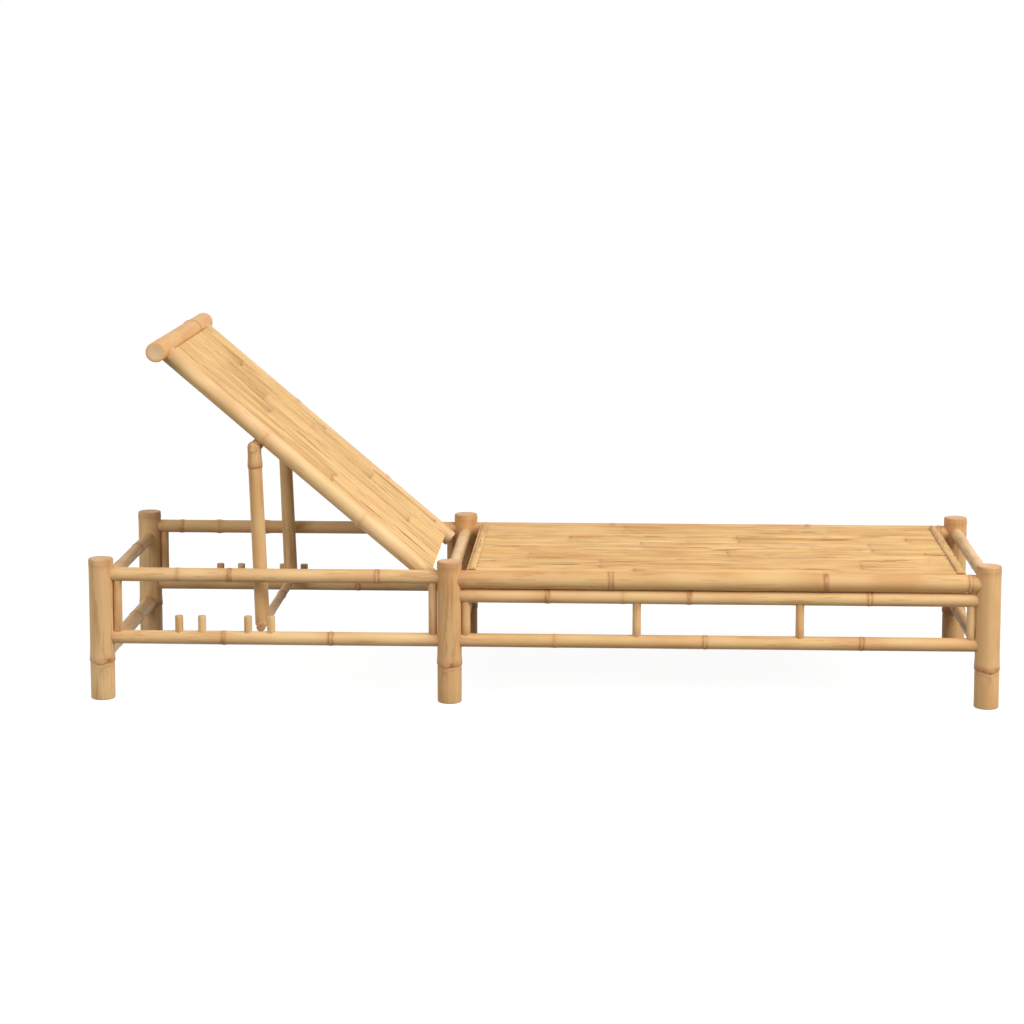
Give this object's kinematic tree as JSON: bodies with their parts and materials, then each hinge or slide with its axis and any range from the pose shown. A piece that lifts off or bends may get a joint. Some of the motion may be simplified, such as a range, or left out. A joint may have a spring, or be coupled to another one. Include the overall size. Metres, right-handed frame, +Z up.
{
  "type": "sun lounger",
  "caption": "Low bamboo sun lounger with round pole legs and rails, a slatted deck and a hinged slatted backrest held up by a swinging prop.",
  "frame": {"origin": "on the floor under the middle of the frame's length and width", "axes": "+X along the length towards the foot end, +Y across towards the sitter's left, +Z up"},
  "size_m": [2.0012, 0.6512, 0.7982],
  "materials": {
    "bamboo_pole": "satin varnished bamboo culm",
    "bamboo_slat": "satin varnished split bamboo",
    "steel": "plain steel"
  },
  "bodies": {
    "frame": {"deck_batten_foot": "bamboo_slat", "deck_batten_middle": "bamboo_slat", "deck_bearer_1": "bamboo_pole", "deck_bearer_2": "bamboo_pole", "deck_bearer_3": "bamboo_pole", "deck_bearer_4": "bamboo_pole", "deck_rail_left": "bamboo_pole", "deck_rail_right": "bamboo_pole", "deck_slats": "bamboo_slat", "deck_under_rail_left": "bamboo_pole", "deck_under_rail_right": "bamboo_pole", "foot_crossbar": "bamboo_pole", "foot_leg_left": "bamboo_pole", "foot_leg_right": "bamboo_pole", "foot_low_crossbar": "bamboo_pole", "foot_lower_rail_left": "bamboo_pole", "foot_lower_rail_right": "bamboo_pole", "head_crossbar": "bamboo_pole", "head_leg_left": "bamboo_pole", "head_leg_right": "bamboo_pole", "head_low_crossbar": "bamboo_pole", "head_lower_rail_left": "bamboo_pole", "head_lower_rail_right": "bamboo_pole", "head_rail_left": "bamboo_pole", "head_rail_right": "bamboo_pole", "hinge_pin_left": "steel", "hinge_pin_right": "steel", "middle_crossbar": "bamboo_pole", "middle_leg_left": "bamboo_pole", "middle_leg_right": "bamboo_pole", "middle_low_crossbar": "bamboo_pole", "pegs_left": "bamboo_pole", "pegs_right": "bamboo_pole", "stile_deck_first_left": "bamboo_pole", "stile_deck_first_right": "bamboo_pole", "stile_deck_second_left": "bamboo_pole", "stile_deck_second_right": "bamboo_pole", "stile_foot_left": "bamboo_pole", "stile_foot_right": "bamboo_pole", "stile_head_left": "bamboo_pole", "stile_head_right": "bamboo_pole", "stile_middle_foot_left": "bamboo_pole", "stile_middle_foot_right": "bamboo_pole", "stile_middle_head_left": "bamboo_pole", "stile_middle_head_right": "bamboo_pole"},
    "backrest": {"back_bearer_1": "bamboo_pole", "back_bearer_2": "bamboo_pole", "back_bearer_3": "bamboo_pole", "back_rail_left": "bamboo_pole", "back_rail_right": "bamboo_pole", "back_slats": "bamboo_slat", "hanger_screws": "steel", "head_roller": "bamboo_pole", "prop_hanger_left": "steel", "prop_hanger_right": "steel", "prop_pivot_bolts": "steel"},
    "prop": {"foot_dowel": "bamboo_pole", "prop_leg_left": "bamboo_pole", "prop_leg_right": "bamboo_pole"}
  },
  "joints": [
    {"name": "backrest_recline", "type": "hinge", "parent": "frame", "child": "backrest", "pos_m": [-0.246, 0, 0.26935], "axis": [0, 1, 0], "range_deg": [-39, 0]},
    {"name": "prop_swing", "type": "hinge", "parent": "backrest", "child": "prop", "pos_m": [-0.63622, 0, 0.55463], "axis": [0, 1, 0], "range_deg": [-37.5, 0]}
  ],
  "couplings": [
    {"joint": "prop_swing", "follows": "backrest_recline", "ratio": 0.947}
  ]
}
